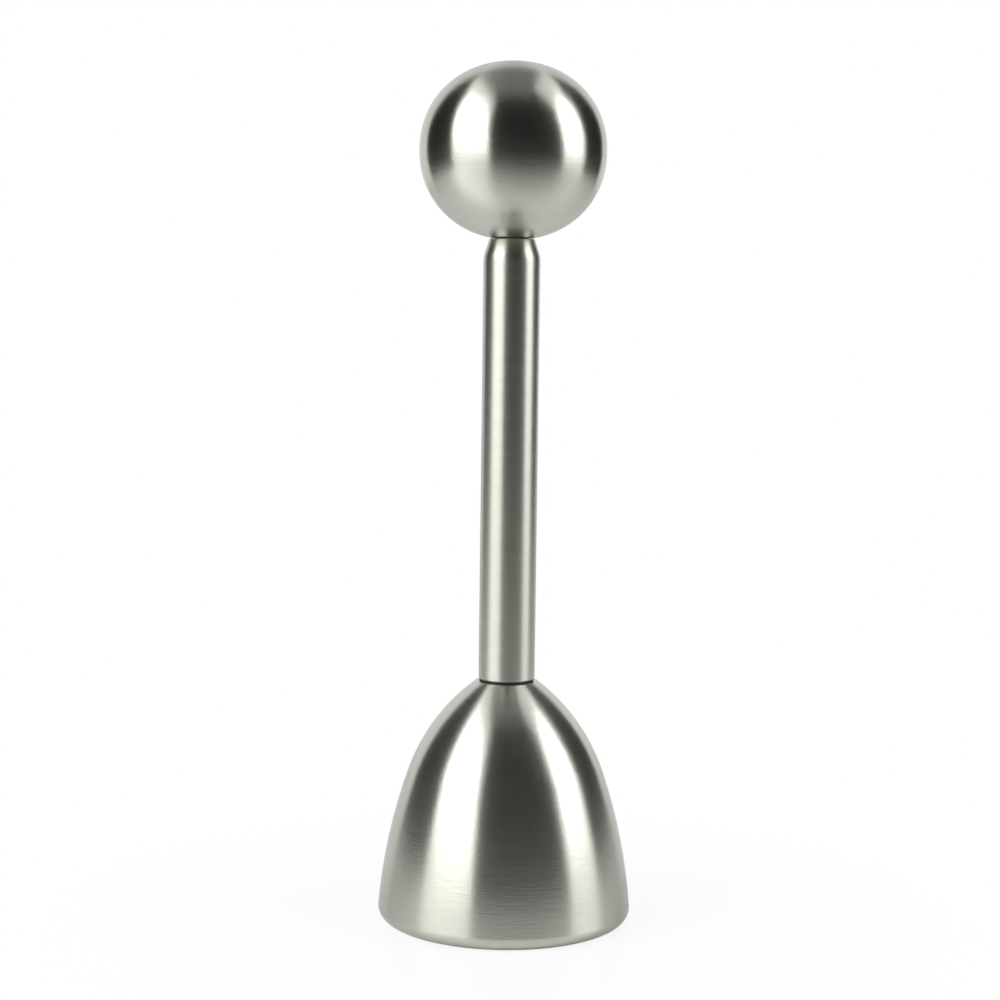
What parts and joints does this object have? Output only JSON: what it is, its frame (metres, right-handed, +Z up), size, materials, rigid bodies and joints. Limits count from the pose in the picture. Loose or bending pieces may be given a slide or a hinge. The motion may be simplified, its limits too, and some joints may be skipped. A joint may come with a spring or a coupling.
{
  "type": "egg topper",
  "caption": "Sprung egg topper: a ball on a rod lifts a hammer inside a slim steel tube, and its blow drives a sharp-edged cup in a steel bell, which cracks a ring round an eggshell.",
  "frame": {"origin": "middle of the bell's foot, on the plane that it stands on", "axes": "+Z up the axis, from the bell's open foot to the ball"},
  "size_m": [0.036, 0.036, 0.1215],
  "materials": {
    "brushed_shell": "satin, brushed round the axis",
    "cup_steel": "pressed and satin, ground edge",
    "turned_steel": "turned bright",
    "spring_wire": "drawn wire",
    "dark_seal": "matte",
    "bush_plastic": "matte"
  },
  "bodies": {
    "base": {"bell_shell": "brushed_shell", "cutting_cup": "cup_steel", "cup_post": "turned_steel", "joint_washer": "dark_seal", "anvil_plug": "turned_steel", "handle_tube": "brushed_shell", "guide_bush": "bush_plastic", "return_spring": "spring_wire"},
    "spring_seat": {"thrust_washer": "turned_steel"},
    "plunger": {"hammer": "turned_steel", "pull_rod": "turned_steel", "lock_nut": "turned_steel", "ball_boss": "turned_steel", "ball_lower_shell": "brushed_shell", "ball_upper_shell": "brushed_shell"}
  },
  "joints": [
    {"name": "pull", "type": "slide", "parent": "base", "child": "spring_seat", "axis": [0, 0, 1], "range_m": [0, 0.015], "stiffness_N_per_m": 870, "springref_m": -0.003, "deforming": ["return_spring"]},
    {"name": "ball_swivel", "type": "hinge", "parent": "spring_seat", "child": "plunger", "pos_m": [0, 0, 0.064], "axis": [0, 0, 1], "continuous": true}
  ]
}
